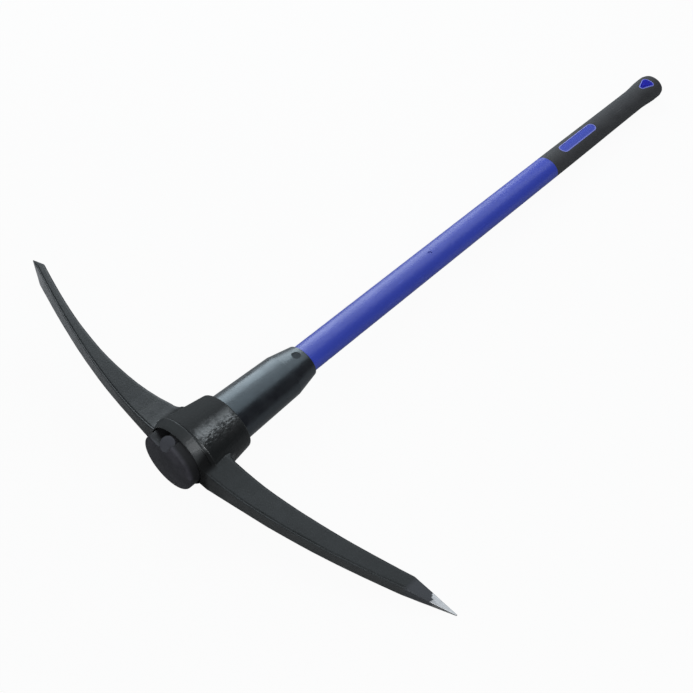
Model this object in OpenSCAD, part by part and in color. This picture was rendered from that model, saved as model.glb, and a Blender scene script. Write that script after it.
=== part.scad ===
// Pick axe: a forged head with a chisel arm and a point arm, bonded with resin
// to a fibreglass-cored handle with a plastic casing and a rubber grip.
// The tool lies flat: +X runs from the head to the butt along the handle's axis,
// +Y points to the chisel end and +Z is up. The origin is the middle of its box.
// Lengths along the handle are counted from the crown of the end plug.

/* [Overall] */
// Length from the crown of the end plug to the butt
overall_length = 895; // [800:5:1000]
// Reach of each arm from the handle's axis to its tip
arm_reach = 302; // [270:1:340]
// Height of the handle's oval for each unit of its width
oval_ratio = 0.8; // [0.72:0.01:0.9]
// Gap left round pieces that are bonded or moulded together
fit_gap = 0.1; // [0.05:0.05:0.3]

/* [Eye of the head] */
// Length of the eye from its rim to its back edge
eye_length = 65; // [60:1:80]
// Height of the mouth's oval for each unit of its width
mouth_ratio = 0.95; // [0.9:0.01:1]
// Distance of the mouth from the handle's axis, towards the chisel
mouth_y = 3.5; // [0:0.25:4]
// Width of the mouth
mouth_width = 68.5; // [66:0.5:70]
// Depth of the mouth, down to the ledge that the plug rests on
mouth_depth = 9; // [7:0.5:10]
// Width of the rim round the mouth, at its back edge
rim_width = 78.5; // [77:0.5:81]
// Length of the rim along the handle
rim_length = 11.5; // [11:0.5:14]
// Width of the rim at its front shoulder
rim_front_width = 72.5; // [72:0.5:75]
// Length of the sloped front of the rim, up to that shoulder
rim_slope = 3; // [2:0.25:5]
// Width of the flat lip round the mouth
rim_lip = 0.5; // [0.4:0.1:0.8]
// Chamfer on the rim's back edge
rim_chamfer = 0.8; // [0.4:0.1:1.2]
// Width of the groove behind the rim
groove_width = 1.6; // [1:0.1:3]
// Depth of the groove below the collar
groove_depth = 1.2; // [0.6:0.1:2]
// Width of the collar just behind the groove
collar_width = 85; // [83:0.5:86]
// Width of the collar at its back edge
collar_back_width = 71.5; // [68:0.5:75]
// How late the collar draws in between those two
collar_draw = 1; // [0.8:0.1:2.5]
// Rounding of the collar's back edge
collar_round = 3; // [1.5:0.25:4]
// Width of the eye behind the ledge
eye_width = 70; // [67:0.5:71]
// Width of the eye at its back
throat_width = 54; // [50:0.5:55]

/* [Arms] */
// How far the front of the arms would pass before the rim at the handle's axis
arm_lead = 2; // [0:0.5:4]
// How far the chisel's edge lies behind that front
chisel_sag = 61.5; // [45:0.5:80]
// How far the point lies behind that front
point_sag = 59; // [45:0.5:80]
// How much straighter the arms run towards their tips
sag_ease = 0.18; // [0:0.01:0.25]
// Radius of the fillets between the arms and the collar
root_fillet = 10; // [6:0.5:14]
// Swell of each side of an arm where it meets the collar
root_swell = 5; // [2:0.25:6]
// Length over which an arm swells towards the collar
swell_length = 60; // [40:1:80]
// Rounding of the edges on the handle's side of the arms
inner_round = 3; // [1.5:0.25:3.5]
// Rounding of the edges on the front of the arms
front_round = 1.2; // [0.6:0.1:1.5]
// Width of the crease that runs along the front edges
crease_width = 1.6; // [1:0.1:2]
// Depth of the crease
crease_depth = 0.8; // [0.4:0.1:1.2]

/* [Chisel arm] */
// Depth of the chisel arm at its root, along the handle
chisel_root_depth = 36; // [30:0.5:38]
// Depth of the chisel arm where its bevel starts
chisel_end_depth = 10.75; // [8:0.25:12]
// How quickly the chisel arm thins away from its root
chisel_thinning = 2.5; // [1:0.1:3]
// Width of the chisel arm at its root
chisel_root_width = 15; // [14:0.5:20]
// Width of the chisel's edge
chisel_edge_width = 30.5; // [26:0.5:36]
// Length of the bevel that forms the edge
chisel_bevel = 12; // [8:0.5:20]
// Thickness of the ground edge
chisel_edge = 1; // [0.6:0.1:2]
// How far the edge's lower corner stands back from its upper corner
edge_slant = 9; // [0:0.5:12]

/* [Point arm] */
// Depth of the point arm at its root, along the handle
point_root_depth = 31; // [26:0.5:34]
// Depth of the point arm where its point starts
point_end_depth = 18.5; // [14:0.5:21]
// Width of the point arm at its root
point_root_width = 18; // [15:0.5:22]
// Width of the point arm where its point starts
point_end_width = 13.5; // [12.5:0.5:16]
// Length of the tapered point
point_length = 51; // [40:1:70]
// Size of the blunt end of the point
point_tip = 1.6; // [1.5:0.1:4]

/* [End plug] */
// How far the plug's crown stands in front of the rim
plug_stand = 16; // [14:0.5:18]
// Radius of the plug's crowned face
plug_face_r = 150; // [110:5:300]
// Rounding between the plug's face and its side
plug_round = 3; // [2:0.5:5]
// Gap between the plug and the mouth of the eye
plug_gap = 1.5; // [1:0.1:2]
// Diameter of the stopper's round head
stopper_head = 16.5; // [15:0.25:17.5]
// How far the stopper's head stands on its seat
stopper_height = 4; // [3:0.25:5]
// Height of the crown on the stopper's head
stopper_crown = 0.8; // [0.5:0.1:1.5]
// Diameter of the hole for the stopper's shank
stopper_bore = 8; // [6:0.5:9]
// Length of the stopper's shank
stopper_shank = 7; // [5:0.5:8]
// Angle between the stopper's axis and the handle's
stopper_tilt = 57; // [52:1:62]
// Distance of the stopper's seat behind the plug's crown
stopper_x = 9.6; // [9:0.1:10.5]
// Distance of the seat from the axis, towards the chisel
stopper_y = 5.5; // [4:0.5:9]
// Height of the seat above the axis
stopper_z = 23.5; // [22.5:0.1:24]
// Length of the notch beside the stopper, behind the plug's crown
notch_length = 20; // [17:0.5:21]
// Height of the notch above the axis at the plug's crown
notch_z = 23; // [22.5:0.1:24.5]
// Wall left between the notch and the hole for the stopper's shank
notch_wall = 1.5; // [1:0.25:2.5]
// Angle at which the notch goes down into the plug
notch_tilt = 20; // [10:1:22]

/* [Handle] */
// Width of the fibreglass core
core_width = 20; // [16:0.5:22]
// How deep the core sits in the end plug
core_socket = 5; // [3:0.5:5.5]
// Width of the casing at the guard sleeve
casing_width = 35; // [33:0.5:38]
// Width of the casing at the grip
casing_grip_width = 33.8; // [32.5:0.1:36]
// How far the casing starts behind the eye, inside the sleeve
casing_start = 15; // [10:1:30]
// Diameter of the dimple in the casing
dimple_d = 5; // [3:0.5:8]
// Depth of the dimple
dimple_depth = 1.2; // [0.6:0.1:2]
// Distance of the dimple from the butt
dimple_place = 493; // [400:1:540]

/* [Guard sleeve] */
// Length of the sleeve behind the eye
sleeve_length = 110; // [88:1:120]
// Width of the sleeve against the eye
sleeve_width = 58.5; // [55:0.5:60]
// Width of the sleeve where its taper starts
sleeve_waist = 53; // [50:0.5:55]
// Width of the sleeve at its end
sleeve_end_width = 41; // [39.5:0.5:45]
// Length of the tapered end
sleeve_taper = 30; // [20:1:40]
// Rounding at the sleeve's end
sleeve_round = 1.5; // [0.5:0.1:2]
// How far the sleeve's spigot reaches into the eye
spigot_length = 6; // [4:0.5:10]
// Diameter of the round recess near the sleeve's end
recess_d = 10; // [6:0.5:12]
// Depth of the round recess
recess_depth = 1.5; // [0.8:0.1:2]
// Distance of the recess from the sleeve's end
recess_place = 11; // [8:0.5:16]

/* [Grip] */
// Length of the grip
grip_length = 256; // [220:1:300]
// Thickness of the rubber
grip_wall = 2.2; // [1.6:0.1:2.8]
// Width of the grip at its waist
waist_width = 32.2; // [31:0.1:34]
// Distance of the waist from the butt
waist_place = 54; // [45:1:70]
// Width of the swollen butt
butt_width = 36; // [34:0.5:40]
// Distance of the widest part of the butt from its end
butt_place = 20; // [16:0.5:24]
// Rounding of the butt's end
butt_round = 10; // [6:0.5:12]
// Thickness of the rubber over the end of the casing
butt_wall = 5; // [3:0.5:8]

/* [Panel and hang hole] */
// Length of the bare panel in the grip
panel_length = 75; // [60:1:90]
// Width of the panel
panel_width = 13.5; // [10:0.5:16]
// Distance of the panel from the front of the grip
panel_place = 27; // [8:1:40]
// Width of the raised border of the panel and the hang hole
border_width = 1.3; // [0.8:0.1:2]
// Depth of the panel inside its border
panel_depth = 0.7; // [0.3:0.1:1.2]
// Length of the hang hole along the handle, with its border
hang_length = 23; // [20:0.5:28]
// Width of the hang hole, with its border
hang_width = 18; // [16:0.5:20]
// Corner radius of the hang hole's border
hang_round = 4; // [3:0.25:5]
// Distance of the hang hole from the butt
hang_place = 17; // [14:0.5:24]
// Plastic left between the core's end and the hang hole
core_cover = 6; // [4:0.5:12]

/* [Hidden] */
$fn = 200;
// Reach of a cutter past the faces that it cuts
past = 5;
// Steps in a curved stretch of an outline
curve_steps = 8;
// Steps in a small rounding
round_steps = 3;

// Places along the handle
rim_x = plug_stand;
rim_back_x = rim_x + rim_length;
collar_x = rim_back_x + groove_width;
eye_back_x = rim_x + eye_length;
resin_x = rim_x + mouth_depth;
core_x = resin_x - core_socket;
spigot_x = eye_back_x - spigot_length;
casing_x = eye_back_x + casing_start;
sleeve_end_x = eye_back_x + sleeve_length;
grip_x = overall_length - grip_length;
waist_x = overall_length - waist_place;
butt_x = overall_length - butt_place;
casing_end_x = overall_length - butt_wall;
panel_x = grip_x + panel_place + panel_length / 2;
hang_x = overall_length - hang_place;
core_end_x = hang_x - hang_length - core_cover;

// Half widths
rim_r = rim_width / 2;
collar_r = collar_width / 2;
collar_back_r = collar_back_width / 2;
mouth_r = mouth_width / 2;
plug_r = mouth_r - plug_gap;
stopper_r = stopper_head / 2;
core_r = core_width / 2;
bore_r = core_r + fit_gap;

// Rounded profile helpers: points of an arc, and an eased step from 0 to 1
function arc(centre, r, from, to, steps = round_steps) =
    [for (i = [0 : steps]) let (a = from + (to - from) * i / steps) centre + r * [cos(a), sin(a)]];
function ease(u) = (1 - cos(180 * max(0, min(1, u)))) / 2;
function blend(a, b, u) = a + (b - a) * u;

// Half widths along the handle
curve_end_x = eye_back_x - collar_round;
function collar_r_at(x) =
    blend(collar_r, collar_back_r, pow((x - collar_x) / (curve_end_x - collar_x), collar_draw));
function eye_r(x) = blend(eye_width, throat_width, (x - resin_x) / (eye_back_x - resin_x)) / 2;
function casing_r(x) =
    blend(casing_width, casing_grip_width, (x - sleeve_end_x) / (grip_x - sleeve_end_x)) / 2;
function grip_r(x) = x < waist_x
    ? blend(casing_grip_width, waist_width, ease((x - grip_x) / (waist_x - grip_x))) / 2
    : blend(waist_width, butt_width, ease((x - waist_x) / (butt_x - waist_x))) / 2;

// Solid of revolution about the handle's axis, from points [half width, place]
module lathe(points) {
    rotate([0, 90, 0]) rotate_extrude() polygon(points);
}

// Moves a piece from the plug's crown to the model's frame
module place() {
    translate([-overall_length / 2, 0, 0]) children();
}

// Presses a round piece to the handle's oval
module oval() {
    scale([1, 1, oval_ratio]) children();
}

// Presses a round piece to the rounder oval of the mouth, and moves it there
module mouth_oval() {
    translate([0, mouth_y, 0]) scale([1, 1, mouth_ratio]) children();
}

// Flat shape with straight sides and round corners, about corner centres given in turn
module rounded(centres, r) {
    count = len(centres);
    edges = [for (i = [0 : count - 1])
        let (a = centres[i], b = centres[(i + 1) % count], along = (b - a) / norm(b - a))
        each [a + r * [along[1], -along[0]], b + r * [along[1], -along[0]]]];
    polygon(edges);
    for (c = centres) translate(c) circle(r);
}

// Shape of the arms, at a distance y from the handle's axis
function front_x(y, sag) = let (u = y / arm_reach)
    rim_x - arm_lead + sag * ((1 + sag_ease) * pow(u, 2) - sag_ease * pow(u, 4));
arm_root_y = collar_r_at(rim_x - arm_lead + point_root_depth + root_fillet);
fillet_end_y = arm_root_y + root_fillet;
bevel_y = arm_reach - chisel_bevel;
point_y = arm_reach - point_length;
// Rise of a quarter-round fillet against the collar, from 1 at the collar to 0 at its end
function fillet(y) = let (u = max(0, min(1, (fillet_end_y - y) / root_fillet))) 1 - sqrt(1 - u * u);
// Swell of an arm near the collar, from 1 at the collar to 0 at its end
function swell(y) = pow(max(0, 1 - (y - arm_root_y) / swell_length), 2);
function along_arm(y, end_y) = max(0, min(1, (y - fillet_end_y) / (end_y - fillet_end_y)));
function chisel_depth(y) = y <= bevel_y
    ? blend(chisel_end_depth, chisel_root_depth, pow(1 - along_arm(y, bevel_y), chisel_thinning))
    : blend(chisel_end_depth, chisel_edge, (y - bevel_y) / chisel_bevel);
function chisel_width_at(y) = blend(chisel_root_width, chisel_edge_width, along_arm(y, arm_reach));
function point_depth(y) = y <= point_y
    ? blend(point_root_depth, point_end_depth, along_arm(y, point_y))
    : blend(point_end_depth, point_tip, (y - point_y) / point_length);
function point_width_at(y) = y <= point_y
    ? blend(point_root_width, point_end_width, along_arm(y, point_y))
    : blend(point_end_width, point_tip, (y - point_y) / point_length);

// One ring round an arm: rounded edges, and a crease beside each front edge
full_detail_depth = 2 * inner_round;
function arm_ring(y, side, sag, depth, width) =
    let (
        small = min(1, depth / full_detail_depth, width / (2 * full_detail_depth)),
        ri = blend(inner_round * small, min(depth, width) / 2 - front_round, fillet(y)),
        rf = front_round * small,
        cw = crease_width * small,
        cd = crease_depth * small,
        top = width / 2,
        half = concat(
            arc([depth - ri, top - ri], ri, 0, 90),
            [[rf + cw, top], [rf + cw / 2, top - cd], [rf, top]],
            arc([rf, top - rf], rf, 135, 180, 1)),
        last = len(half) - 1,
        ring = concat(half, [for (i = [last : -1 : 0]) [half[i][0], -half[i][1]]])
    )
    [for (p = ring) [front_x(y, sag) + p[0], side * y, p[1]]];
function chisel_square_ring(y) =
    arm_ring(y, 1, chisel_sag, chisel_depth(y) + root_fillet * fillet(y),
        chisel_width_at(y) + 2 * root_swell * swell(y));
// The bevel and the edge follow the arm's front, but slant back towards the lower corner
function chisel_ring(y) = y < bevel_y ? chisel_square_ring(y)
    : [for (p = chisel_square_ring(y))
        let (back = edge_slant * (1 / 2 - p[2] / chisel_width_at(y)))
        p + [front_x(y - back, chisel_sag) - front_x(y, chisel_sag), -back, 0]];
function point_ring(y) =
    arm_ring(y, -1, point_sag, point_depth(y) + root_fillet * fillet(y),
        point_width_at(y) + 2 * root_swell * swell(y));

// Rings closest together in the fillet, then evenly along the arm, then at the tip
fillet_steps = 5;
arm_steps = 16;
function arm_stations(end_y) = concat(
    [for (i = [0 : fillet_steps - 1])
        fillet_end_y - root_fillet * sin(90 * (1 - i / fillet_steps))],
    [for (i = [0 : arm_steps]) blend(fillet_end_y, end_y, i / arm_steps)],
    [arm_reach]);

// Skin over rings that all have the same points, listed down one half and up the other,
// with each end closed in strips from one half to the other
module loft(rings) {
    n = len(rings[0]);
    count = len(rings);
    sides = [for (k = [0 : count - 2], i = [0 : n - 1])
        let (a = k * n + i, b = k * n + (i + 1) % n)
        each [[a, b + n, b], [a, a + n, b + n]]];
    strips = [for (i = [0 : n / 2 - 2]) each [[i, i + 1, n - 2 - i], [i, n - 2 - i, n - 1 - i]]];
    last = (count - 1) * n;
    polyhedron(
        points = [for (ring = rings) each ring],
        faces = concat(sides, strips, [for (f = strips) [f[2] + last, f[1] + last, f[0] + last]]));
}

// Both arms in one sweep, from the chisel's edge to the point
module arms() {
    chisel = [for (y = arm_stations(bevel_y)) chisel_ring(y)];
    point = [for (y = arm_stations(point_y)) point_ring(y)];
    loft(concat([for (i = [len(chisel) - 1 : -1 : 0]) chisel[i]], point));
}

// Flared rim round the mouth of the eye
module rim() {
    lathe([[0, rim_x], [mouth_r + rim_lip, rim_x], [rim_front_width / 2, rim_x + rim_slope],
        [rim_r, rim_back_x - rim_chamfer], [rim_r - rim_chamfer, rim_back_x], [0, rim_back_x]]);
}

// Outside of the eye behind the rim: a groove, and a collar that draws in towards the handle
module collar() {
    groove_r = collar_r - groove_depth;
    inside_rim_x = rim_back_x - groove_width;
    lathe(concat(
        [[0, inside_rim_x], [groove_r, inside_rim_x], [groove_r, collar_x]],
        [for (i = [0 : curve_steps]) let (x = blend(collar_x, curve_end_x, i / curve_steps))
            [collar_r_at(x), x]],
        arc([collar_back_r - collar_round, curve_end_x], collar_round, 30, 90),
        [[0, eye_back_x]]));
}

// Hole of the eye: a short mouth, and a taper from its ledge to the back
module mouth_cut() {
    lathe([[0, rim_x - past], [mouth_r, rim_x - past], [mouth_r, resin_x], [0, resin_x]]);
}
module eye_cut() {
    front = resin_x - fit_gap;
    back = eye_back_x + past;
    lathe([[0, front], [eye_r(front), front], [eye_r(back), back], [0, back]]);
}

module pick_head() {
    color("#303436") place() difference() {
        union() {
            arms();
            mouth_oval() rim();
            oval() collar();
        }
        mouth_oval() mouth_cut();
        oval() eye_cut();
    }
}

// Cast resin that fills the eye round the core
module eye_resin() {
    color("#8a7f5c") place() oval() lathe([
        [bore_r, resin_x], [eye_r(resin_x) - fit_gap, resin_x],
        [eye_r(spigot_x) - fit_gap, spigot_x], [bore_r, spigot_x]]);
}

// Moves a piece to the stopper's seat, with its +Z out along the stopper's axis
module on_seat() {
    translate([stopper_x, stopper_y, stopper_z]) rotate([0, stopper_tilt - 90, 0]) children();
}

// Plan of the seat: it fits round the stopper's head below and is open above
module seat_plan() {
    r = stopper_r + fit_gap;
    circle(r);
    translate([0, -r]) square([plug_r, 2 * r]);
}

// Plug that closes the mouth of the eye, with a crowned face and a rounded edge
module end_plug() {
    plug_edge_angle = asin((plug_r - plug_round) / (plug_face_r - plug_round));
    crown = [for (i = [0 : curve_steps]) let (a = plug_edge_angle * i / curve_steps)
        [plug_face_r * sin(a), plug_face_r * (1 - cos(a))]];
    edge_centre = [plug_r - plug_round, plug_face_r - (plug_face_r - plug_round) * cos(plug_edge_angle)];
    edge = arc(edge_centre, plug_round, plug_edge_angle - 90, 0, curve_steps);
    color("#37363b") place() difference() {
        mouth_oval() lathe(concat(crown, edge, [[plug_r, resin_x], [0, resin_x]]));
        oval() lathe([[0, core_x - fit_gap], [bore_r, core_x - fit_gap], [bore_r, resin_x + past],
            [0, resin_x + past]]);
        on_seat() {
            linear_extrude(plug_r) seat_plan();
            translate([0, 0, -stopper_shank - fit_gap])
                cylinder(d = stopper_bore, h = stopper_shank + past);
        }
        translate([0, stopper_y + stopper_bore / 2 + notch_wall, notch_z]) rotate([0, notch_tilt, 0])
            translate([-past, 0, 0]) cube([past + notch_length, plug_r, plug_r]);
    }
}

// Round stopper pushed into its seat at the top of the plug
module filler_stopper() {
    shank_r = stopper_bore / 2 - fit_gap;
    crown_r = (pow(stopper_r, 2) + pow(stopper_crown, 2)) / (2 * stopper_crown);
    edge_angle = asin(stopper_r / crown_r);
    crown = [for (i = [0 : curve_steps]) let (a = edge_angle * (1 - i / curve_steps))
        [crown_r * sin(a), stopper_height - crown_r * (1 - cos(a))]];
    color("#45454b") place() on_seat() rotate_extrude() polygon(concat(
        [[0, -stopper_shank], [shank_r, -stopper_shank], [shank_r, 0], [stopper_r, 0]], crown));
}

// Pultruded rod of the handle
module glass_core() {
    color("#c9c08a") place() oval() lathe([
        [0, core_x], [core_r, core_x], [core_r, core_end_x], [0, core_end_x]]);
}

// Sleeve that takes stray blows behind the head
module guard_sleeve() {
    r = sleeve_width / 2;
    waist_r = sleeve_waist / 2;
    end_r = sleeve_end_width / 2;
    taper_x = sleeve_end_x - sleeve_taper;
    recess_x = sleeve_end_x - recess_place;
    recess_z = blend(end_r, waist_r, recess_place / sleeve_taper) - recess_depth;
    color("#23252a") place() oval() difference() {
        lathe(concat(
            [[bore_r, spigot_x], [eye_r(spigot_x) - fit_gap, spigot_x],
             [eye_r(eye_back_x) - fit_gap, eye_back_x], [r, eye_back_x], [waist_r, taper_x]],
            arc([end_r - sleeve_round, sleeve_end_x - sleeve_round], sleeve_round, 0, 90),
            [[casing_r(sleeve_end_x) + fit_gap, sleeve_end_x], [casing_r(casing_x) + fit_gap, casing_x],
             [bore_r, casing_x]]));
        for (side = [0, 1]) mirror([0, 0, side])
            translate([recess_x, 0, recess_z]) cylinder(d = recess_d, h = r);
    }
}

// Grip's outline, lowered by a depth, as a solid with a rounded butt and a straight lead in front
module grip_solid(depth = 0, lead = 0) {
    end_x = overall_length - depth;
    corner = [grip_r(butt_x) - butt_round, overall_length - butt_round];
    lathe(concat(
        [[0, grip_x - lead], [grip_r(grip_x) - depth, grip_x - lead]],
        [for (i = [lead > 0 ? 0 : 1 : curve_steps]) let (x = blend(grip_x, waist_x, i / curve_steps))
            [grip_r(x) - depth, x]],
        [for (i = [1 : curve_steps]) let (x = blend(waist_x, butt_x, i / curve_steps))
            [grip_r(x) - depth, x]],
        arc(corner, butt_round - depth, 0, 90),
        [[0, end_x]]));
}

// Plan of the panel and of the hang hole, drawn in from their borders
module panel_plan(inset = 0) {
    reach = (panel_length - panel_width) / 2;
    translate([panel_x, 0]) rounded([[-reach, 0], [reach, 0]], panel_width / 2 - inset);
}
module hang_plan(inset = 0) {
    side = hang_width / 2 - hang_round;
    rounded([[hang_x - hang_length + hang_round, 0], [hang_x - hang_round, -side],
             [hang_x - hang_round, side]], hang_round - inset);
}

// Casing moulded over the core: bare along the shaft, and covered by the grip,
// through which it shows as the panel and as the lining of the hang hole
module handle_casing() {
    skin = grip_wall + fit_gap;
    dimple_x = overall_length - dimple_place;
    color("#2f3a9e") place() oval() difference() {
        union() {
            lathe([[0, casing_x], [casing_r(casing_x), casing_x], [casing_r(grip_x), grip_x], [0, grip_x]]);
            intersection() {
                grip_solid(skin, past);
                translate([grip_x - 2 * past, -butt_width, -butt_width])
                    cube([casing_end_x - fit_gap - grip_x + 2 * past, 2 * butt_width, 2 * butt_width]);
            }
            intersection() {
                grip_solid();
                linear_extrude(butt_width) panel_plan();
            }
            intersection() {
                grip_solid();
                linear_extrude(2 * butt_width, center = true) hang_plan();
            }
        }
        lathe([[0, casing_x - past], [bore_r, casing_x - past], [bore_r, core_end_x + fit_gap],
               [0, core_end_x + fit_gap]]);
        difference() {
            linear_extrude(butt_width) panel_plan(border_width);
            grip_solid(panel_depth);
        }
        linear_extrude(2 * butt_width, center = true) hang_plan(border_width);
        for (side = [0, 1]) mirror([0, 0, side])
            translate([dimple_x, 0, casing_r(dimple_x) - dimple_depth])
                cylinder(d = dimple_d, h = casing_width);
    }
}

// Rubber moulded over the end of the casing, open at the panel and the hang hole
module rubber_grip() {
    color("#2b2c2f") place() oval() difference() {
        grip_solid();
        intersection() {
            grip_solid(grip_wall, past);
            translate([grip_x - 2 * past, -butt_width, -butt_width])
                cube([casing_end_x - grip_x + 2 * past, 2 * butt_width, 2 * butt_width]);
        }
        linear_extrude(butt_width) panel_plan(-fit_gap);
        linear_extrude(2 * butt_width, center = true) hang_plan(-fit_gap);
    }
}

pick_head();
eye_resin();
end_plug();
filler_stopper();
glass_core();
guard_sleeve();
handle_casing();
rubber_grip();
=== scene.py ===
# %% [markdown]
# # A pick axe, dressed for its picture
# The construction gives every piece its shape and its place. This lesson gives each piece the
# finish that it has on the real tool, lays the tool on a pale floor and looks at it from the
# photo's viewing angle. Lengths are in metres, and the frame is the construction's own.

# %% Load the construction
import math
import bpy
import numpy as np
from mathutils import Matrix, Vector, noise


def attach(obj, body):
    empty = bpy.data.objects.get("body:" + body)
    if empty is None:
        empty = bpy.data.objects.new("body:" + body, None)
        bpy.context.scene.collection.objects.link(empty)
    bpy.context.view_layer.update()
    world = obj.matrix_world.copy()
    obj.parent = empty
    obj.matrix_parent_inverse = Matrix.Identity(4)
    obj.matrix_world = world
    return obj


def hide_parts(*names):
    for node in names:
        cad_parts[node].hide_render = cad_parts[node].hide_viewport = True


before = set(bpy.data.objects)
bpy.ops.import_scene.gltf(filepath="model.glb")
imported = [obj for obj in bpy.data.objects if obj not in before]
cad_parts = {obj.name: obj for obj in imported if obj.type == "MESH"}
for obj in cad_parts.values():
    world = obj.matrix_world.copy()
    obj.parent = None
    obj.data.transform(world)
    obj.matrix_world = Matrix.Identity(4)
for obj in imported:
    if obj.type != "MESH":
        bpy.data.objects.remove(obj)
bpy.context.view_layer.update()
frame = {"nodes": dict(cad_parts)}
nodes = frame["nodes"]
scene = bpy.context.scene
print("pieces from the construction:", ", ".join(sorted(nodes)))

# %% [markdown]
# ## Soft edges
# No moulded edge is knife-sharp: it turns over a small radius, and that radius catches a thin line
# of light. A bevel on every sharp edge stands for it. Smooth shading is kept between the faces that
# belong to one curve, and it stops at the edges.

# %% Round the sharp edges of each piece
sharp = math.radians(35)
edge_radius = {"end_plug": 0.0012, "filler_stopper": 0.0006, "guard_sleeve": 0.0008,
               "handle_casing": 0.0003, "rubber_grip": 0.0004}
for name, radius in edge_radius.items():
    piece = nodes[name]
    for face in piece.data.polygons:
        face.use_smooth = True
    piece.data.set_sharp_from_angle(angle=sharp)
    bevel = piece.modifiers.new("soft edge", "BEVEL")
    bevel.width = radius
    bevel.segments = 3
    bevel.limit_method = "ANGLE"
    bevel.angle_limit = sharp
    bevel.harden_normals = True
print("edges softened on", len(edge_radius), "pieces")

# %% [markdown]
# ## The forged head
# A hammer forging has no crisp corners at all: the hot steel flows into the die's corners only so
# far, and the thick enamel rounds them further. A bevel would need clean edges to follow, and the
# blends between the arms and the eye have none. So the head is wrapped in a new skin of small even
# squares, which is then relaxed: every edge, groove and corner turns over a millimetre or two. A
# slow ripple, pressed inwards, stands for the unevenness that the hammer leaves.

# %% Wrap the head in a forged skin
forging = nodes["pick_head"]
head = bpy.data.objects.new("forged_head", forging.data.copy())
head.matrix_world = forging.matrix_world.copy()
scene.collection.objects.link(head)
skin = head.modifiers.new("skin", "REMESH")
skin.mode = "VOXEL"
skin.voxel_size = 0.0005
skin.use_smooth_shade = True
relax = head.modifiers.new("relax", "SMOOTH")
relax.factor = 0.5
relax.iterations = 4
hammer = bpy.data.textures.new("hammer marks", "CLOUDS")
hammer.noise_scale = 0.03
uneven = head.modifiers.new("uneven", "DISPLACE")
uneven.texture = hammer
uneven.texture_coords = "GLOBAL"
uneven.strength = 0.0004
uneven.mid_level = 1.0
print("the head's new skin has squares of", skin.voxel_size * 1000, "mm")

# %% [markdown]
# ## Pooled enamel
# The enamel is sprayed on thickly. On one side of the collar it has run together and dried as a
# lumpy band, and the rest of the collar is lumpy too, but less. Lumps of this size change the
# outline of every reflection, so they are real shape here and not only a trick of the material: the
# skin is made final, and each of its points on the collar is pressed in a little, by an amount that
# wanders from place to place. Broad lumps carry finer ones, so that no pattern can be read in them.
# Here and below, a pair of places is the start and the end of a soft step.

# %% Press the lumps into the collar
bpy.context.view_layer.update()
ready = head.evaluated_get(bpy.context.evaluated_depsgraph_get())
head.data = bpy.data.meshes.new_from_object(ready)
head.modifiers.clear()


def eased(value, start, end):
    step = np.clip((value - start) / (end - start), 0.0, 1.0)
    return step * step * (3 - 2 * step)


rim_back = (-0.4190, -0.4175)
eye_side = (0.036, 0.044)
band_middle, band_side = -0.0165, (0.002, 0.017)
lump_size, lump_depth = 0.0026, 0.00045
finer_by, finer_share = 2.2, 0.5
mean_press, press_swing = 0.5, 0.45
calm_share, least = 0.4, 0.001
count = len(head.data.vertices)
points, facing = np.empty(count * 3, "f"), np.empty(count * 3, "f")
head.data.vertices.foreach_get("co", points)
head.data.vertex_normals.foreach_get("vector", facing)
points, facing = points.reshape(-1, 3), facing.reshape(-1, 3)
on_collar = (1 - eased(np.abs(points[:, 1]), *eye_side)) * eased(points[:, 0], *rim_back)
in_band = 1 - eased(np.abs(points[:, 1] - band_middle), *band_side)
lumpy = on_collar * (calm_share + (1 - calm_share) * in_band)
for i in np.nonzero(lumpy > least)[0]:
    spot = Vector(points[i].tolist()) / lump_size
    wander = noise.noise(spot) + finer_share * noise.noise(spot * finer_by)
    points[i] -= facing[i] * lumpy[i] * lump_depth * max(0.0, mean_press + press_swing * wander)
head.data.vertices.foreach_set("co", points.ravel())
head.data.update()
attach(head, "root")
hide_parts("pick_head")
nodes["pick_head"] = head
print(int((lumpy > least).sum()), "of the skin's", count, "points are pressed in")

# %% [markdown]
# ## Shared effects
# Every finish is a small network of nodes. A few helpers keep the networks short to write: one sets
# or links a socket, one adds a node, and the rest add the kinds of node that are used most.

# %% Small tools for wiring nodes
def put(socket, value, tree):
    if isinstance(value, bpy.types.NodeSocket):
        tree.links.new(value, socket)
    else:
        socket.default_value = value


def add(tree, kind, settings=None, **inputs):
    made = tree.nodes.new("ShaderNode" + kind)
    for key, value in (settings or {}).items():
        setattr(made, key, value)
    for key, value in inputs.items():
        put(made.inputs[key.replace("_", " ")], value, tree)
    return made


def mix_colour(tree, mask, below, above):
    made = add(tree, "Mix", {"data_type": "RGBA"})
    for index, value in ((0, mask), (6, below), (7, above)):
        put(made.inputs[index], value, tree)
    return made.outputs[2]


def to_range(tree, value, low, high, start=0.0, end=1.0):
    made = add(tree, "MapRange", {"interpolation_type": "SMOOTHSTEP"}, Value=value)
    for index, limit in ((1, start), (2, end), (3, low), (4, high)):
        put(made.inputs[index], limit, tree)
    return made.outputs[0]


def calc(tree, operation, *values):
    made = add(tree, "Math", {"operation": operation})
    for socket, value in zip(made.inputs, values):
        put(socket, value, tree)
    return made.outputs[0]


def group(name, inputs, output, kind):
    tree = bpy.data.node_groups.new(name, "ShaderNodeTree")
    for label, value in inputs.items():
        sort = "NodeSocketVector" if isinstance(value, tuple) else "NodeSocketFloat"
        tree.interface.new_socket(label, in_out="INPUT", socket_type=sort).default_value = value
    tree.interface.new_socket(output, in_out="OUTPUT", socket_type=kind)
    start = tree.nodes.new("NodeGroupInput")
    end = tree.nodes.new("NodeGroupOutput")
    return tree, start.outputs, end.inputs[output]


def use(tree, shared, **inputs):
    made = tree.nodes.new("ShaderNodeGroup")
    made.node_tree = shared
    for key, value in inputs.items():
        put(made.inputs[key], value, tree)
    return made.outputs[0]


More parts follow.
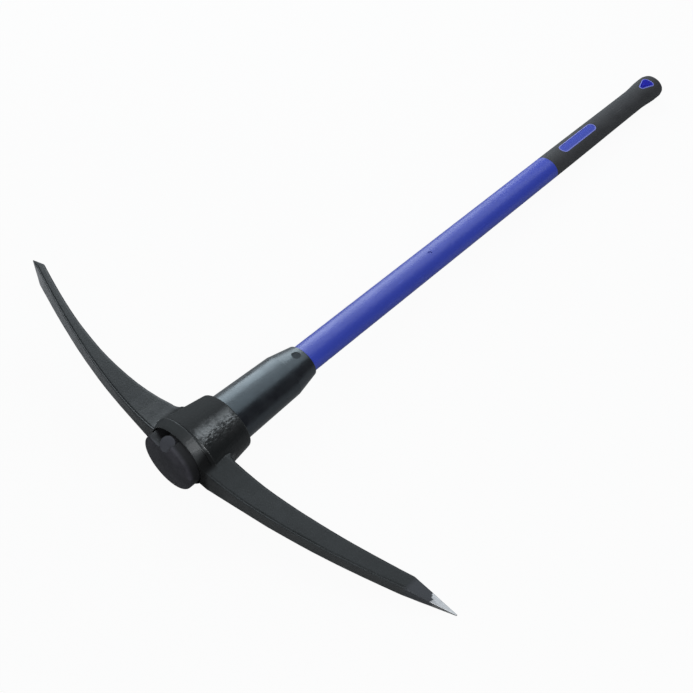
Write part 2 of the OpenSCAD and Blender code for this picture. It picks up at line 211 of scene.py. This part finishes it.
# %% [markdown]
# ### Patches
# No colour is quite even: pigment, oil and handling leave soft areas of another tone. A noise cut
# off at two levels gives them, and a stretch lets them follow the length of a piece. This effect and
# the next two happen to every piece, so each is one node group with named inputs, and a material
# only says how strong and how large the effect is.

# %% Patches: soft areas of a slightly different tone
patches, given, result = group("patches", {"Scale": 40.0, "Low": 0.4, "High": 0.6,
                               "Stretch": (1.0, 1.0, 1.0)}, "Mask", "NodeSocketFloat")
place = add(patches, "TexCoord").outputs["Object"]
scaled = add(patches, "Mapping", Vector=place, Scale=given["Stretch"]).outputs[0]
cloud = add(patches, "TexNoise", Vector=scaled, Scale=given["Scale"], Detail=4.0, Roughness=0.6)
put(result, to_range(patches, cloud.outputs[0], 0.0, 1.0, given["Low"], given["High"]), patches)
print("shared effect:", patches.name)

# %% [markdown]
# ### Ripple
# A painted, moulded or forged skin is never flat. Broad waves with finer grit on top tilt the light
# a little; their heights are hundredths of a millimetre, too small to be worth real shape.

# %% Ripple: the unevenness of a painted, moulded or forged skin
ripple, given, result = group("ripple", {"Size": 0.0025, "Height": 0.0002, "Grit": 0.2},
                              "Normal", "NodeSocketVector")
place = add(ripple, "TexCoord").outputs["Object"]
grit_finer_by = 5.0
many = calc(ripple, "DIVIDE", 1.0, given["Size"])
broad = add(ripple, "TexNoise", Vector=place, Scale=many, Detail=1.0)
finer = calc(ripple, "MULTIPLY", many, grit_finer_by)
grit = add(ripple, "TexNoise", Vector=place, Scale=finer, Detail=2.0)
both = calc(ripple, "MULTIPLY_ADD", grit.outputs[0], given["Grit"], broad.outputs[0])
bump = add(ripple, "Bump", Height=both, Distance=given["Height"], Strength=1.0)
put(result, bump.outputs[0], ripple)
print("shared effect:", ripple.name)

# %% [markdown]
# ### Scratches
# Use leaves fine lines that mostly follow the length of the tool, more in some places than in
# others. A noise stretched into threads gives the lines, and a second noise says where they are.

# %% Scratches: fine lines that follow the length of the tool
scratches, given, result = group("scratches", {"Amount": 0.3}, "Mask", "NodeSocketFloat")
place = add(scratches, "TexCoord").outputs["Object"]
askew, thread_scale = (0.2, 0.1, 0.35), (30.0, 900.0, 900.0)
lines = add(scratches, "Mapping", Vector=place, Rotation=askew, Scale=thread_scale)
thread = add(scratches, "TexNoise", Vector=lines.outputs[0], Scale=1.0, Detail=2.0)
thin = to_range(scratches, thread.outputs[0], 0.0, 1.0, 0.62, 0.72)
where = add(scratches, "TexNoise", Vector=place, Scale=35.0, Detail=2.0)
there = to_range(scratches, where.outputs[0], 0.0, 1.0, 0.45, 0.62)
kept = calc(scratches, "MULTIPLY", thin, there)
put(result, calc(scratches, "MULTIPLY", kept, given["Amount"]), scratches)
print("shared effect:", scratches.name)

# %% [markdown]
# ## Finishes
# Each finish starts from a base colour, lets it vary in patches, adds its scratches as a slightly
# lighter tone, and ends in a surface that is rippled as finely or as coarsely as its making leaves
# it: sprayed paint, moulded plastic, cast resin or rubber.

# %% A tool that makes one finish
def finish(name, colour, tone, rough, patch, skin, scratch, specular=0.5):
    made = bpy.data.materials.new(name)
    made.use_nodes = True
    tree = made.node_tree
    surface = tree.nodes["Principled BSDF"]
    patchy = use(tree, patches, **patch)
    worn = use(tree, scratches, Amount=scratch)
    base = mix_colour(tree, patchy, (*colour, 1), (*tone, 1))
    scratched = tuple(min(1.0, c * 1.8 + 0.02) for c in colour)
    put(surface.inputs["Base Color"], mix_colour(tree, worn, base, (*scratched, 1)), tree)
    put(surface.inputs["Roughness"], to_range(tree, patchy, *rough), tree)
    put(surface.inputs["Normal"], use(tree, ripple, **skin), tree)
    surface.inputs["Specular IOR Level"].default_value = specular
    print("finish:", name)
    return made, tree, surface


def dress(name, material):
    nodes[name].data.materials.clear()
    nodes[name].data.materials.append(material)
    print(name, "is dressed in", material.name)


# %% [markdown]
# ### Black steel
# The head is a drop forging sprayed with thick black enamel, which dries with a fine bumpy skin. It
# starts as one even satin coat, and the next steps change that coat where the real one differs.

# %% Paint the head
steel, tree, surface = finish(
    "black_steel", colour=(0.015, 0.017, 0.018), tone=(0.010, 0.0115, 0.012), rough=(0.52, 0.44),
    patch={"Scale": 60.0, "Low": 0.35, "High": 0.65},
    skin={"Size": 0.0021, "Height": 0.00008, "Grit": 0.3}, scratch=0.25, specular=0.25)
place = add(tree, "TexCoord").outputs
across, along, _ = add(tree, "SeparateXYZ", Vector=place["Object"]).outputs
painted = surface.inputs["Base Color"].links[0].from_socket
satin = surface.inputs["Roughness"].links[0].from_socket

# %% [markdown]
# ### Collar and rim
# The collar and the rim in front of it are parts of one forging, so masks tell them apart: how far
# back a spot lies, and how far from the handle's axis. A third mask finds the rim's lit side, which
# is painted light. The side that faces the point arm is painted shade.

# %% Find the collar, the rim and its lit side
lit_side_span = (-0.029, -0.022)
behind_rim = to_range(tree, across, 0.0, 1.0, *rim_back)
on_eye = to_range(tree, calc(tree, "ABSOLUTE", along), 1.0, 0.0, *eye_side)
collar = calc(tree, "MULTIPLY", on_eye, behind_rim)
rim = calc(tree, "MULTIPLY", on_eye, to_range(tree, behind_rim, 1.0, 0.0))
# Mask of the rim's lit side, where light is painted; beyond it shade is painted.
lit = to_range(tree, along, 0.0, 1.0, *lit_side_span)
shaded_rim = calc(tree, "MULTIPLY", rim, calc(tree, "SUBTRACT", 1.0, lit))
print("the rim is handled from", lit_side_span[1], "m on")

# %% [markdown]
# ### Gloss on the collar
# Where the enamel has pooled it dries like glass, and where it is thin it stays dull. A clear coat
# in soft runs covers the band that was pressed in above, and the collar grows rougher away from that
# band. The rim's lit side keeps a trace of gloss.

# %% Gloss the band and the rim, and keep the rest of the collar dull
rim_gloss = 0.1
off_band = calc(tree, "ABSOLUTE", calc(tree, "SUBTRACT", along, band_middle))
pooled = calc(tree, "MULTIPLY", collar, to_range(tree, off_band, 1.0, 0.0, *band_side))
runs = use(tree, patches, Scale=110.0, Low=0.3, High=0.58, Stretch=(1.0, 1.0, 1.0))
gloss = calc(tree, "MULTIPLY", calc(tree, "MULTIPLY", rim, lit), rim_gloss)
gloss = calc(tree, "MULTIPLY_ADD", pooled, runs, gloss)
put(surface.inputs["Coat Weight"], gloss, tree)
surface.inputs["Coat Roughness"].default_value = 0.25
surface.inputs["Coat IOR"].default_value = 1.75
dull_side, band_rough, dull_rough = (-0.030, -0.004), 0.36, 0.74
dull = to_range(tree, along, band_rough, dull_rough, *dull_side)
change = calc(tree, "SUBTRACT", dull, satin)
rough = calc(tree, "MULTIPLY_ADD", collar, change, satin)
shaded_rim_rough = 0.4
put(surface.inputs["Roughness"], calc(tree, "MULTIPLY_ADD", shaded_rim, shaded_rim_rough, rough), tree)
print("the gloss lies within", band_side[1] * 1000, "mm of the band's middle")

# %% [markdown]
# ### Tones of the collar and the rim
# The collar is blacker than the arms. The rim is painted lighter than both on its lit side, as
# painted light, and blacker than both on the side that faces the point arm, as painted shade.

# %% Tone the collar, and paint light and shade on the rim
collar_tone = (0.006, 0.0068, 0.0072, 1)
painted_shade_rim_tone, painted_lit_rim_tone = (0.003, 0.0032, 0.0034, 1), (0.026, 0.028, 0.029, 1)
painted = mix_colour(tree, collar, painted, collar_tone)
# Painted light on the rim's lit side, painted shade on the rest.
painted = mix_colour(tree, rim, painted, mix_colour(tree, lit, painted_shade_rim_tone, painted_lit_rim_tone))
print("tones of the collar and the rim:", collar_tone[:3], painted_lit_rim_tone[:3])

# %% [markdown]
# ### Painted light on the arms' fronts
# The chisel's front is painted grey towards its edge, and the point arm's front a little lighter:
# this is painted light on faces that look forward. The point's tapered end is worn a little paler.
# The masks come from where a spot lies along the head and which way it faces, so they follow the shape.

# %% Paint light on the arms' fronts and wear the point's taper
front_tilt = (-0.75, -0.45)
chisel_light_span, point_light_span, taper_wear = (0.02, 0.24), (-0.070, -0.045), (-0.257, -0.249)
forward = add(tree, "SeparateXYZ", Vector=place["Normal"]).outputs[0]
front = to_range(tree, forward, 1.0, 0.0, *front_tilt)
# The chisel's front is painted light grey: painted light.
painted_chisel_light = calc(tree, "MULTIPLY", front, to_range(tree, along, 0.0, 1.0, *chisel_light_span))
painted = mix_colour(tree, painted_chisel_light, painted, (0.190, 0.196, 0.205, 1))
# The point arm's front is painted a little lighter: painted light.
point_front = calc(tree, "MULTIPLY", front, to_range(tree, along, 1.0, 0.0, *point_light_span))
painted = mix_colour(tree, point_front, painted, (0.034, 0.036, 0.037, 1))
taper = to_range(tree, along, 1.0, 0.0, *taper_wear)
painted = mix_colour(tree, taper, painted, (0.036, 0.038, 0.043, 1))
# The first value is where the chisel's painted light starts.
print("worn from", chisel_light_span[0], "m on the chisel and from", taper_wear[1], "m on the point's taper")

# %% [markdown]
# ### Bare steel
# On the last stretch of the point and along the chisel's edge the enamel is gone and the steel is
# bare. The limit is ragged, and on the point it slants: it lies further out in front than at the
# back. The bare point's front is painted darker than its top, as painted shade.

# %% Bare the two ends
ragged_depth = 0.004
back_edge, lean = -0.374, 0.5
point_limit, edge_limit, edge_share = (-0.273, -0.271), (0.262, 0.294), 0.8
ragged = use(tree, patches, Scale=260.0, Low=0.3, High=0.7, Stretch=(1.0, 1.0, 1.0))
limit = calc(tree, "MULTIPLY_ADD", ragged, ragged_depth, along)
before_back = calc(tree, "MAXIMUM", calc(tree, "SUBTRACT", back_edge, across), 0.0)
slanted = calc(tree, "MULTIPLY_ADD", before_back, lean, limit)
bare_point = to_range(tree, slanted, 1.0, 0.0, *point_limit)
bare_edge = calc(tree, "MULTIPLY", front, to_range(tree, limit, 0.0, edge_share, *edge_limit))
bare = calc(tree, "MAXIMUM", bare_point, bare_edge)
bright, grey, painted_shade_steel = (0.58, 0.58, 0.59, 1), (0.38, 0.38, 0.39, 1), (0.20, 0.20, 0.20, 1)
streaks = use(tree, patches, Scale=90.0, Low=0.3, High=0.7, Stretch=(1.0, 0.2, 1.0))
ground = mix_colour(tree, streaks, bright, grey)
# Painted shade: the bare point's forward face is darker.
ground = mix_colour(tree, point_front, ground, painted_shade_steel)
painted = mix_colour(tree, bare, painted, ground)
put(surface.inputs["Metallic"], to_range(tree, bare, 0.0, 0.6), tree)
print("bare steel beyond", point_limit[1], "m on the point and from", edge_limit[0], "m on the chisel")

# %% [markdown]
# ### Painted shade in the creases
# The creases of the arms and the groove behind the rim are painted nearly black, as painted shade. A
# spot that sees little open air within two millimetres lies in one of them.

# %% Paint shade into the creases
crease_reach, painted_crease_shade_tone = 0.002, (0.002, 0.002, 0.002, 1)
open_air = add(tree, "AmbientOcclusion", {"only_local": True, "samples": 16}, Distance=crease_reach)
painted_crease_shade = to_range(tree, open_air.outputs["AO"], 1.0, 0.0, 0.55, 0.95)
# Painted shade: the creases turn nearly black.
put(surface.inputs["Base Color"], mix_colour(tree, painted_crease_shade, painted, painted_crease_shade_tone), tree)
dress("pick_head", steel)

# %% [markdown]
# ### Plug and stopper
# Both are injection mouldings in dull, dark plastic, and the stopper is a little paler. The plug's
# side, between its face and the eye, is painted nearly black as painted shade, and so is the notch
# beside the stopper, further forward.

# %% Colour the plug and the stopper, and paint shade on the plug's side
plug_mat, tree, surface = finish(
    "plug_plastic", colour=(0.039, 0.037, 0.045), tone=(0.016, 0.015, 0.020), rough=(0.72, 0.62),
    patch={"Scale": 50.0, "Low": 0.35, "High": 0.65},
    skin={"Size": 0.004, "Height": 0.0002, "Grit": 0.3}, scratch=0.4, specular=0.3)
place = add(tree, "TexCoord").outputs
depth, side, height = add(tree, "SeparateXYZ", Vector=place["Object"]).outputs
painted_shade_start, painted_gap_shade_tone = (-0.4425, -0.4375), (0.006, 0.006, 0.007, 1)
notch_side, notch_height, notch_lead = (0.006, 0.009), (0.0185, 0.0200), 0.004
notch = calc(tree, "MULTIPLY", to_range(tree, side, 0.0, 1.0, *notch_side),
             to_range(tree, height, 0.0, 1.0, *notch_height))
depth = calc(tree, "MULTIPLY_ADD", notch, notch_lead, depth)
painted_gap_shade = to_range(tree, depth, 0.0, 1.0, *painted_shade_start)
unshaded = surface.inputs["Base Color"].links[0].from_socket
# Painted shade on the plug's side and in the notch.
put(surface.inputs["Base Color"], mix_colour(tree, painted_gap_shade, unshaded, painted_gap_shade_tone), tree)
dress("end_plug", plug_mat)
stopper_mat, _, _ = finish(
    "stopper_plastic", colour=(0.052, 0.053, 0.062), tone=(0.042, 0.043, 0.051), rough=(0.5, 0.42),
    patch={"Scale": 120.0, "Low": 0.3, "High": 0.7},
    skin={"Size": 0.003, "Height": 0.0001, "Grit": 0.3}, scratch=0.3)
dress("filler_stopper", stopper_mat)

# %% [markdown]
# ### Guard sleeve
# The sleeve comes from a polished mould and shines with a cool tint, but the mould's pin leaves the
# small round recess at its end matt.

# %% Colour the sleeve and dull its recess
sleeve_mat, tree, surface = finish(
    "sleeve_plastic", colour=(0.005, 0.005, 0.007), tone=(0.008, 0.008, 0.010), rough=(0.28, 0.36),
    patch={"Scale": 40.0, "Low": 0.35, "High": 0.7},
    skin={"Size": 0.006, "Height": 0.00006, "Grit": 0.15}, scratch=0.35, specular=0.6)
surface.inputs["Specular Tint"].default_value = (0.78, 0.92, 1.0, 1)
place = add(tree, "TexCoord").outputs
length, width, _ = add(tree, "SeparateXYZ", Vector=place["Object"]).outputs
recess_middle, recess_edge, recess_rough = -0.2665, (0.0042, 0.0050), 0.45
ahead = calc(tree, "SUBTRACT", length, recess_middle)
outward = calc(tree, "MULTIPLY_ADD", ahead, ahead, calc(tree, "MULTIPLY", width, width))
outward = calc(tree, "SQRT", outward)
recess = to_range(tree, outward, 1.0, 0.0, *recess_edge)
shine = surface.inputs["Roughness"].links[0].from_socket
put(surface.inputs["Roughness"], calc(tree, "MULTIPLY_ADD", recess, recess_rough, shine), tree)
dress("guard_sleeve", sleeve_mat)

# %% [markdown]
# ### Blue casing
# The casing is satin blue plastic. Where it shows through the grip, the raised borders of the panel
# and of the hang hole are painted pale, as painted highlights, and the hole's lining is painted a
# brighter blue, as painted light. The panel is a slot with round ends, so its border is found by the
# distance from the slot's middle line. The lining is all of the casing beyond its last stretch.

# %% Colour the casing and find the panel's border
casing_mat, tree, surface = finish(
    "blue_plastic", colour=(0.025, 0.042, 0.310), tone=(0.029, 0.047, 0.340), rough=(0.42, 0.36),
    patch={"Scale": 25.0, "Low": 0.35, "High": 0.7, "Stretch": (0.35, 1.0, 1.0)},
    skin={"Size": 0.005, "Height": 0.00008, "Grit": 0.3}, scratch=0.3, specular=0.4)
place = add(tree, "TexCoord").outputs
length, width, _ = add(tree, "SeparateXYZ", Vector=place["Object"]).outputs
panel_middle, panel_reach = 0.2560, 0.03075
border_inside, border_outside = (0.0049, 0.0055), (0.0070, 0.0075)
past_end = calc(tree, "ABSOLUTE", calc(tree, "SUBTRACT", length, panel_middle))
past_end = calc(tree, "MAXIMUM", calc(tree, "SUBTRACT", past_end, panel_reach), 0.0)
outward = calc(tree, "MULTIPLY_ADD", width, width, calc(tree, "MULTIPLY", past_end, past_end))
outward = calc(tree, "SQRT", outward)
border = calc(tree, "MULTIPLY", to_range(tree, outward, 0.0, 1.0, *border_inside),
              to_range(tree, outward, 1.0, 0.0, *border_outside))
print("the panel's border ends", border_outside[1] * 1000, "mm from the slot's middle line")

# %% [markdown]
# ### Hang hole
# The hole's border is the part of the lining that faces up or nearly so. Both borders then get one
# pale tone, a painted highlight, over the lining's brighter blue, which is painted light.

# %% Paint highlights on the borders and light in the hang hole's lining
lining_start, border_tilt = (0.400, 0.404), (0.5, 0.8)
painted_light_lining_tone, painted_highlight_tone = (0.060, 0.065, 0.620, 1), (0.150, 0.165, 0.480, 1)
lining = to_range(tree, length, 0.0, 1.0, *lining_start)
upward = add(tree, "SeparateXYZ", Vector=place["Normal"]).outputs[2]
edge = calc(tree, "MULTIPLY", lining, to_range(tree, upward, 0.0, 1.0, *border_tilt))
blue = surface.inputs["Base Color"].links[0].from_socket
# Painted light: the lining is a brighter blue.
blue = mix_colour(tree, lining, blue, painted_light_lining_tone)
# Painted highlight: both borders turn pale.
blue = mix_colour(tree, calc(tree, "MAXIMUM", border, edge), blue, painted_highlight_tone)
put(surface.inputs["Base Color"], blue, tree)
dress("handle_casing", casing_mat)

# %% [markdown]
# ### Rubber, resin and glass fibre
# The grip is soft rubber with a fine matt grain. The resin and the core are hidden inside the tool:
# the resin is poured, so it is cloudy, and the core is pulled, so its fibres run along it.

# %% Colour the grip and the two hidden pieces
rubber_mat, _, _ = finish(
    "grip_rubber", colour=(0.036, 0.036, 0.038), tone=(0.028, 0.028, 0.030), rough=(0.7, 0.58),
    patch={"Scale": 45.0, "Low": 0.3, "High": 0.7},
    skin={"Size": 0.0012, "Height": 0.00012, "Grit": 0.6}, scratch=0.35, specular=0.25)
resin_mat, _, _ = finish(
    "cast_resin", colour=(0.32, 0.25, 0.13), tone=(0.24, 0.18, 0.09), rough=(0.3, 0.2),
    patch={"Scale": 110.0, "Low": 0.3, "High": 0.7},
    skin={"Size": 0.004, "Height": 0.0001, "Grit": 0.2}, scratch=0.1)
glass_mat, _, _ = finish(
    "fibreglass", colour=(0.52, 0.50, 0.32), tone=(0.42, 0.40, 0.24), rough=(0.45, 0.35),
    patch={"Scale": 300.0, "Low": 0.35, "High": 0.65, "Stretch": (0.03, 1.0, 1.0)},
    skin={"Size": 0.001, "Height": 0.00008, "Grit": 0.4}, scratch=0.2)
for name, material in (("rubber_grip", rubber_mat), ("eye_resin", resin_mat), ("glass_core", glass_mat)):
    dress(name, material)

# %% [markdown]
# ## Floor
# The tool lies on its rim, its butt and its point arm. The floor is the plane through these three
# contacts, found by taking the lowest spot of each, tilting the floor to fit and looking again.

# %% Find the floor under the tool
def lowest(places, slope):
    return min(places, key=lambda p: p.z - slope[0] * p.x - slope[1] * p.y)


head_start, eye_reach, butt_start, point_start = -0.3, 0.05, 0.3, -0.1
resting = (forging, nodes["rubber_grip"])
corners = [piece.matrix_world @ v.co for piece in resting for v in piece.data.vertices]
head_end = [p for p in corners if p.x < head_start and abs(p.y) < eye_reach]
butt_end = [p for p in corners if p.x > butt_start]
point_end = [p for p in corners if p.y < point_start]
slope = (0.0, 0.0)
tries = 8
for _ in range(tries):
    a, b, c = (lowest(part, slope) for part in (head_end, butt_end, point_end))
    upright = (b - a).cross(c - a)
    slope = (-upright.x / upright.z, -upright.y / upright.z)
floor_up = Vector((-slope[0], -slope[1], 1)).normalized()
print("floor leans", [round(math.degrees(math.atan(s)), 2) for s in slope], "degrees")

# %% [markdown]
# ### A floor to lie on
# The floor is one large square, a hair below the contacts, so that the tool touches it nowhere.

# %% Lay the floor
hair, half = 0.0003, 6.0
square = [(-half, -half, 0), (half, -half, 0), (half, half, 0), (-half, half, 0)]
mesh = bpy.data.meshes.new("floor")
mesh.from_pydata(square, [], [(0, 1, 2, 3)])
floor = bpy.data.objects.new("floor", mesh)
scene.collection.objects.link(floor)
lean_of_floor = floor_up.to_track_quat("Z", "Y").to_matrix().to_4x4()
floor.matrix_world = Matrix.Translation(a - floor_up * hair) @ lean_of_floor
print("the floor is", 2 * half, "m wide")

# %% [markdown]
# ### A white floor that keeps the shadow
# In the photo the ground is white with hardly a shadow. The floor is a plain grey surface mixed with
# white light: nearly all white for the camera, a little white in gloss, so that the tool's underside
# mirrors it, and plain for everything else.

# %% Make the floor white to the camera, with a trace of shadow
floor_mat = bpy.data.materials.new("floor")
floor_mat.use_nodes = True
tree = floor_mat.node_tree
matt = tree.nodes["Principled BSDF"]
floor_grey = 0.40
matt.inputs["Base Color"].default_value = (floor_grey, floor_grey, floor_grey, 1)
matt.inputs["Roughness"].default_value = 0.9
matt.inputs["Specular IOR Level"].default_value = 0.0
glow = add(tree, "Emission", Color=(1, 1, 1, 1), Strength=1.0)
ray = add(tree, "LightPath").outputs
camera_share, mirror_share = 0.95, 0.05
mirrored = calc(tree, "ADD", ray["Is Glossy Ray"], ray["Is Transmission Ray"])
mirrored = calc(tree, "MULTIPLY", mirrored, mirror_share)
white = calc(tree, "MULTIPLY_ADD", ray["Is Camera Ray"], camera_share, mirrored)
both = add(tree, "MixShader")
for index, value in ((0, white), (1, matt.outputs[0]), (2, glow.outputs[0])):
    put(both.inputs[index], value, tree)
put(tree.nodes["Material Output"].inputs["Surface"], both.outputs[0], tree)
floor.data.materials.append(floor_mat)
print("the floor is", camera_share, "white to the camera and", mirror_share, "white in gloss")

# %% [markdown]
# ## Light
# The long highlights come from one large cool lamp on the chisel's side. A weaker lamp overhead
# lights the tops, and a third one near the camera fills the front. The room around them is white to
# the camera, like the floor, but otherwise dark, which keeps the gloss deep.

# %% Set the room's light
room_light = 0.08
world = bpy.data.worlds.new("studio")
scene.world = world
world.use_nodes = True
tree = world.node_tree
sky = tree.nodes["Background"]
sky.inputs["Color"].default_value = (1, 1, 1, 1)
ray = add(tree, "LightPath").outputs
mirrored = calc(tree, "ADD", ray["Is Glossy Ray"], ray["Is Transmission Ray"])
white = calc(tree, "MULTIPLY_ADD", mirrored, mirror_share, ray["Is Camera Ray"])
put(sky.inputs["Strength"], to_range(tree, white, room_light, 1.0), tree)
print("the room's light is", room_light)

# %% [markdown]
# ### Lamps
# Each lamp is a square that looks at one spot of the handle, near the head, from its own direction.

# %% Hang the lamps
middle = Vector((-0.2, 0.0, 0.0))
cool, fresh = (0.85, 0.94, 1.0), (0.93, 0.97, 1.0)
for name, aim, far, size, power, tint in (("side lamp", (0.47, 0.77, 0.43), 1.8, 1.3, 31.0, cool),
                                          ("top lamp", (0.55, 0.17, 0.82), 1.8, 1.3, 13.0, cool),
                                          ("front lamp", (-0.40, -0.51, 0.76), 2.2, 1.2, 35.0, fresh)):
    lamp = bpy.data.objects.new(name, bpy.data.lights.new(name, "AREA"))
    lamp.data.energy = power
    lamp.data.color = tint
    lamp.data.size = size
    lamp.location = middle + Vector(aim).normalized() * far
    lamp.rotation_euler = Vector(aim).to_track_quat("Z", "Y").to_euler()
    scene.collection.objects.link(lamp)
    print(name, "at", [round(v, 2) for v in lamp.location])

# %% [markdown]
# ## Camera
# The photo looks down on the head from the front and from the point's side, with the handle
# running away to the upper right. The distance and the lens were found by laying the tool's
# outline over the photo's.

# %% Set the camera at the photo's angle
azimuth, elevation, roll = (math.radians(a) for a in (-51.892, 49.281, 5.26))
target = Vector((-0.208954, -0.019705, 0))
distance = 1.186035
focal_pixels, image_pixels = 1106.068, 693
back = Vector((math.sin(azimuth) * math.cos(elevation), -math.cos(azimuth) * math.cos(elevation),
               math.sin(elevation)))
level = Vector((math.cos(azimuth), math.sin(azimuth), 0))
upright = back.cross(level)
right = level * math.cos(roll) + upright * math.sin(roll)
up = upright * math.cos(roll) - level * math.sin(roll)
pose = Matrix((right, up, back)).transposed().to_4x4()
pose.translation = target + back * distance
camera = bpy.data.objects.new("camera", bpy.data.cameras.new("camera"))
camera.matrix_world = pose
camera.data.sensor_width = 36
camera.data.lens = focal_pixels * camera.data.sensor_width / image_pixels
scene.collection.objects.link(camera)
scene.camera = camera
scene.view_settings.view_transform = "Standard"
print("lens", round(camera.data.lens, 2), "mm")
